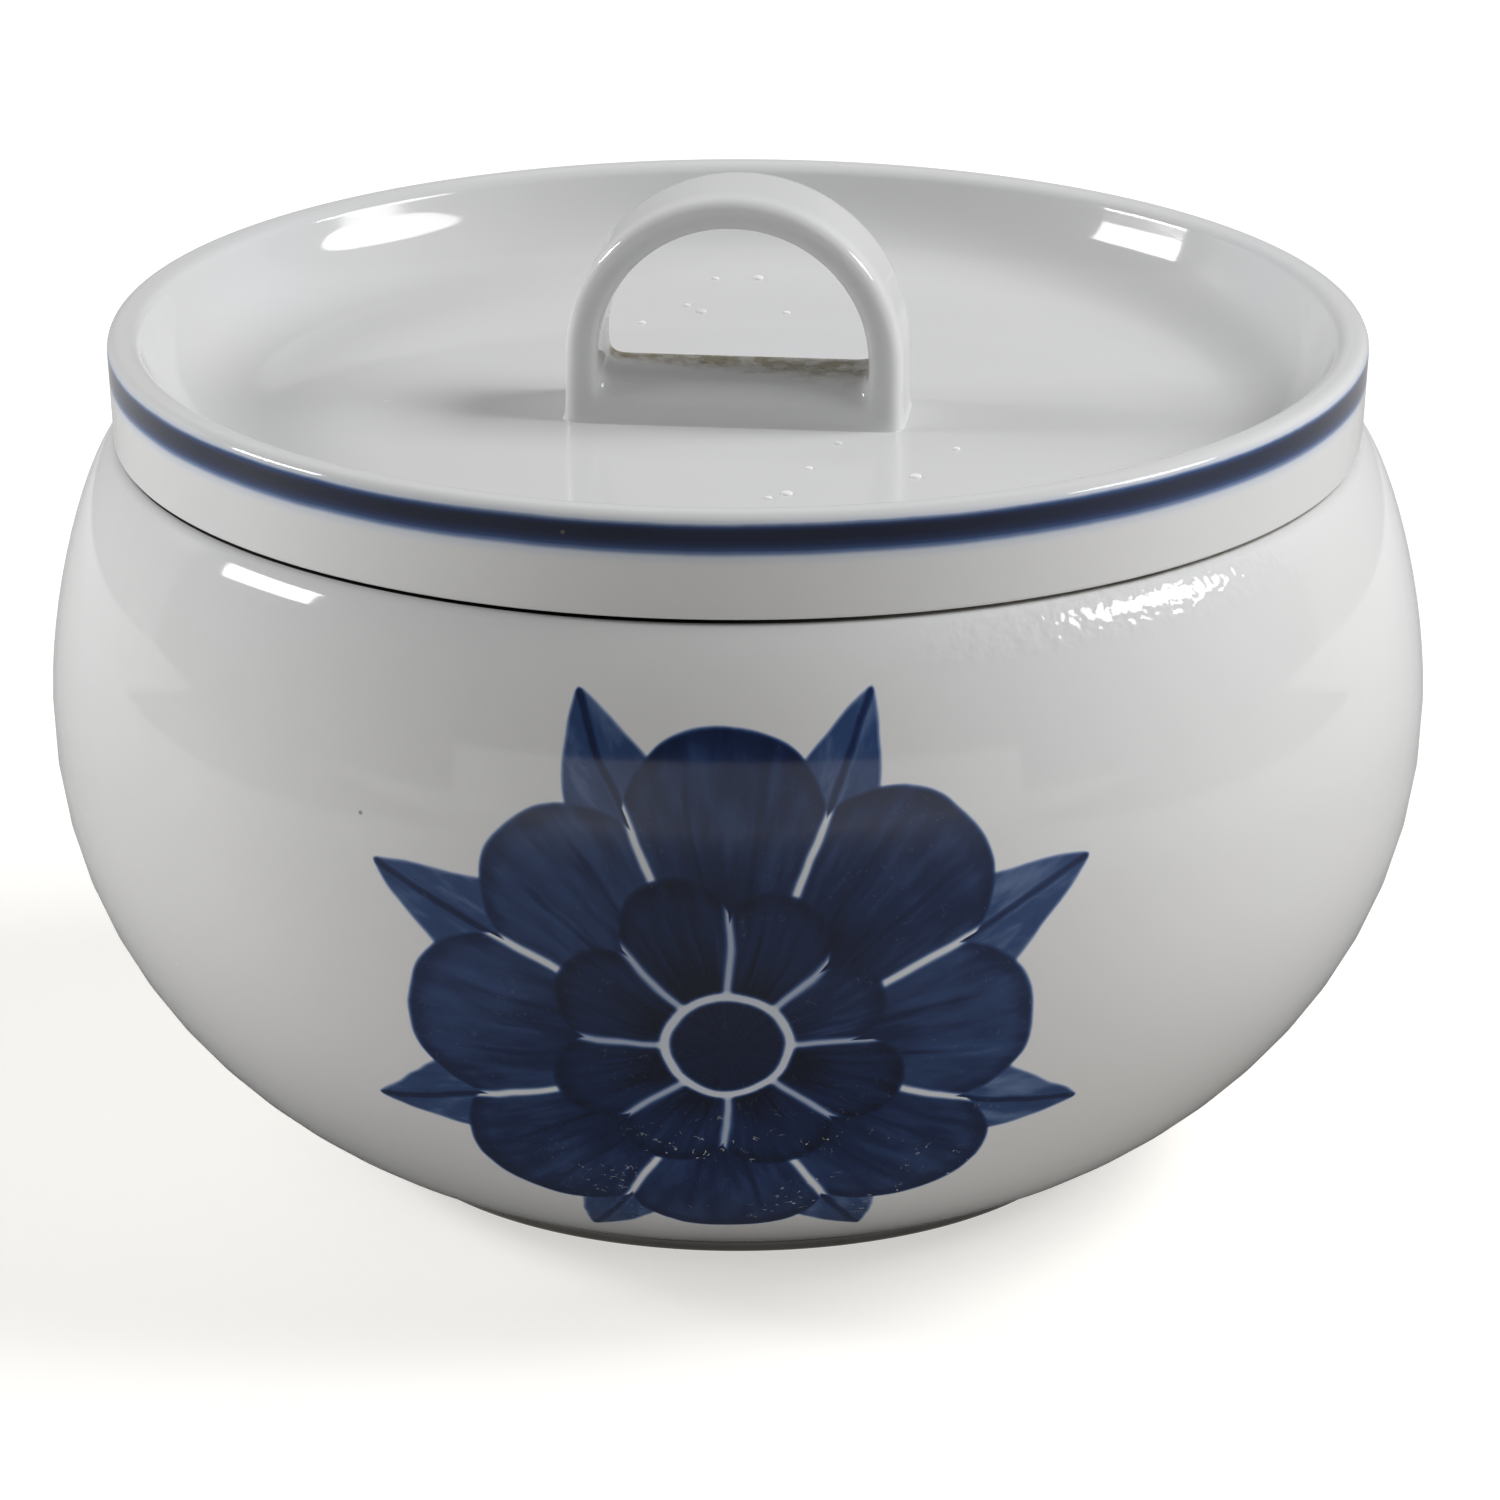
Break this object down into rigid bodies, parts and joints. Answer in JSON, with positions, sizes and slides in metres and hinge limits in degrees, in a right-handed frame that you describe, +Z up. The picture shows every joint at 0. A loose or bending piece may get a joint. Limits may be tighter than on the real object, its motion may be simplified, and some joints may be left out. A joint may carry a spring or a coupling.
{
  "type": "covered rice bowl",
  "caption": "Round-bellied white porcelain bowl on a low foot ring, with a loose dish-shaped lid that lifts off by a loop handle; dark blue stripe and brushwork.",
  "frame": {"origin": "middle of the foot ring, on the surface that the bowl stands on", "axes": "+Z up along the axis on which bowl and lid were turned, X along the width of the lid's handle, -Y towards the painted side, 6 degrees from it"},
  "size_m": [0.125, 0.125, 0.0901],
  "materials": {
    "bowl_glaze": "glossy clear glaze over white porcelain, with cobalt blue brushwork under the glaze on one side",
    "lid_glaze": "glossy clear glaze over white porcelain, with a dark cobalt blue stripe round the outer wall, under the lip",
    "handle_glaze": "glossy clear glaze over white porcelain, stained brown along the base bar"
  },
  "bodies": {
    "bowl": {"bowl": "bowl_glaze"},
    "lid": {"lid": "lid_glaze", "lid_handle": "handle_glaze"}
  },
  "joints": [
    {"name": "lid_lift", "type": "slide", "parent": "bowl", "child": "lid", "axis": [0, 0, 1], "range_m": [0, 0.1]}
  ]
}
